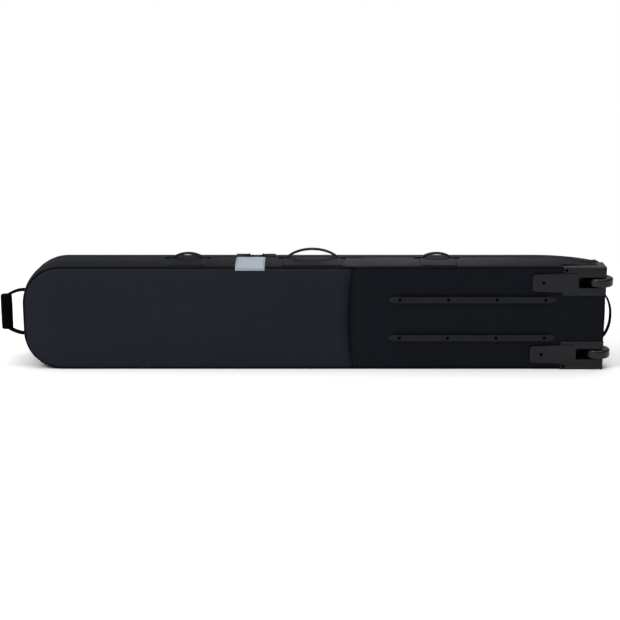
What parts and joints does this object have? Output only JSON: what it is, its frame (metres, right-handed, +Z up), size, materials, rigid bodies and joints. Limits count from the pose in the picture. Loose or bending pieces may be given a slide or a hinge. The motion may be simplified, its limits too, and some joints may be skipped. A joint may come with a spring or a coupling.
{
  "type": "wheeled snowboard bag",
  "caption": "Long padded snowboard bag with a zipped front, rounded tip, two skid rails and skate-type wheels in moulded corner housings.",
  "frame": {"origin": "on the floor under the middle of the bag's body, which stands on its long narrow side", "axes": "+X towards the wheel end, -Y out of the skid-rail face, +Z up"},
  "size_m": [1.794, 0.186, 0.3378],
  "materials": {
    "shell_fabric": "padded coated polyester, dark navy-black",
    "panel_fabric": "smooth tarpaulin-coated polyester, near black",
    "gusset_fabric": "coated polyester with a soft sheen",
    "piping": "cord piping in bias tape",
    "webbing": "woven polyester webbing",
    "grip_fabric": "padded fabric wrap",
    "reflective_fabric": "pale grey reflective fabric",
    "pad_foam": "closed-cell foam in lining",
    "board_plastic": "polyethylene sheet",
    "rail_plastic": "moulded nylon, satin",
    "housing_plastic": "moulded polypropylene, fine grain",
    "buckle_plastic": "moulded acetal",
    "hub_plastic": "moulded nylon",
    "wheel_tyre": "cast polyurethane, satin",
    "pull_rubber": "moulded rubber",
    "zip_coil": "nylon coil",
    "slider_metal": "black enamelled zinc",
    "black_steel": "black oxide steel",
    "plated_steel": "zinc plated"
  },
  "bodies": {
    "bag": {"back_panel_soft": "shell_fabric", "back_panel_stiff": "panel_fabric", "crease_piping": "piping", "back_piping": "piping", "gusset_top": "gusset_fabric", "gusset_bottom": "gusset_fabric", "gusset_tip": "gusset_fabric", "gusset_tail": "gusset_fabric", "base_board": "board_plastic", "base_pad": "pad_foam", "skid_rail_upper": "rail_plastic", "skid_rail_lower": "rail_plastic", "rail_screws": "black_steel", "rail_nuts": "plated_steel", "wheel_housing_upper": "housing_plastic", "wheel_housing_lower": "housing_plastic", "housing_screws": "black_steel", "housing_nuts": "plated_steel", "axle_upper": "plated_steel", "axle_lower": "plated_steel", "spacers_upper": "plated_steel", "spacers_lower": "plated_steel", "zip_tape_bag": "webbing", "zip_coil_bag": "zip_coil", "handle_patch_tip": "gusset_fabric", "handle_patch_carry": "gusset_fabric", "handle_patch_tail": "gusset_fabric", "contrast_patch": "reflective_fabric", "tie_straps": "webbing", "tie_buckles": "buckle_plastic"},
    "wheel_upper": {"tyre_upper": "wheel_tyre", "hub_upper": "hub_plastic", "bearings_upper": "plated_steel"},
    "wheel_lower": {"tyre_lower": "wheel_tyre", "hub_lower": "hub_plastic", "bearings_lower": "plated_steel"},
    "front_lid": {"lid_panel": "shell_fabric", "lid_lip_top": "gusset_fabric", "lid_lip_tip": "gusset_fabric", "front_piping": "piping", "zip_tape_lid": "webbing", "zip_coil_lid": "zip_coil"},
    "slider_tip": {"zip_slider_tip": "slider_metal"},
    "pull_tip": {"zip_pull_tip": "pull_rubber"},
    "slider_tail": {"zip_slider_tail": "slider_metal"},
    "pull_tail": {"zip_pull_tail": "pull_rubber"},
    "loop_tip": {"handle_tip": "webbing"},
    "loop_carry": {"handle_carry": "webbing"},
    "loop_tail": {"handle_tail": "webbing"},
    "end_loop_tip": {"handle_tip_end": "webbing", "tip_grip": "grip_fabric"},
    "end_loop_tail": {"handle_tail_end": "webbing"}
  },
  "joints": [
    {"name": "wheel_upper_spin", "type": "hinge", "parent": "bag", "child": "wheel_upper", "pos_m": [0.831, -0.063, 0.26], "axis": [0, 0, 1], "continuous": true},
    {"name": "wheel_lower_spin", "type": "hinge", "parent": "bag", "child": "wheel_lower", "pos_m": [0.831, -0.063, 0.046], "axis": [0, 0, 1], "continuous": true},
    {"name": "lid_open", "type": "hinge", "parent": "bag", "child": "front_lid", "pos_m": [-0.039, 0.0825, 0.0025], "axis": [-1, 0, 0], "range_deg": [0, 90]},
    {"name": "slider_tip_slide", "type": "slide", "parent": "bag", "child": "slider_tip", "axis": [1, 0, 0], "range_m": [-0.53, 0]},
    {"name": "slider_tail_slide", "type": "slide", "parent": "bag", "child": "slider_tail", "axis": [1, 0, 0], "range_m": [0, 0.78]},
    {"name": "pull_tip_flip", "type": "hinge", "parent": "slider_tip", "child": "pull_tip", "pos_m": [-0.19, 0.05, 0.31476], "axis": [0, 1, 0], "range_deg": [0, 110]},
    {"name": "pull_tail_flip", "type": "hinge", "parent": "slider_tail", "child": "pull_tail", "pos_m": [-0.15, 0.05, 0.31476], "axis": [0, -1, 0], "range_deg": [0, 110]},
    {"name": "loop_tip_swing", "type": "hinge", "parent": "bag", "child": "loop_tip", "pos_m": [-0.37, 0.022, 0.3196], "axis": [1, 0, 0], "range_deg": [-80, 80], "stiffness_Nm_per_rad": 0.01},
    {"name": "loop_carry_swing", "type": "hinge", "parent": "bag", "child": "loop_carry", "pos_m": [-0.004, 0.022, 0.3196], "axis": [1, 0, 0], "range_deg": [-80, 80], "stiffness_Nm_per_rad": 0.01},
    {"name": "loop_tail_swing", "type": "hinge", "parent": "bag", "child": "loop_tail", "pos_m": [0.362, 0.022, 0.3196], "axis": [1, 0, 0], "range_deg": [-80, 80], "stiffness_Nm_per_rad": 0.01},
    {"name": "end_loop_tip_swing", "type": "hinge", "parent": "bag", "child": "end_loop_tip", "pos_m": [-0.85531, 0, 0.153], "axis": [0, 0, 1], "range_deg": [-70, 70], "stiffness_Nm_per_rad": 0.05},
    {"name": "end_loop_tail_swing", "type": "hinge", "parent": "bag", "child": "end_loop_tail", "pos_m": [0.8553, -0.046, 0.153], "axis": [0, 0, 1], "range_deg": [-60, 60], "stiffness_Nm_per_rad": 0.01}
  ]
}
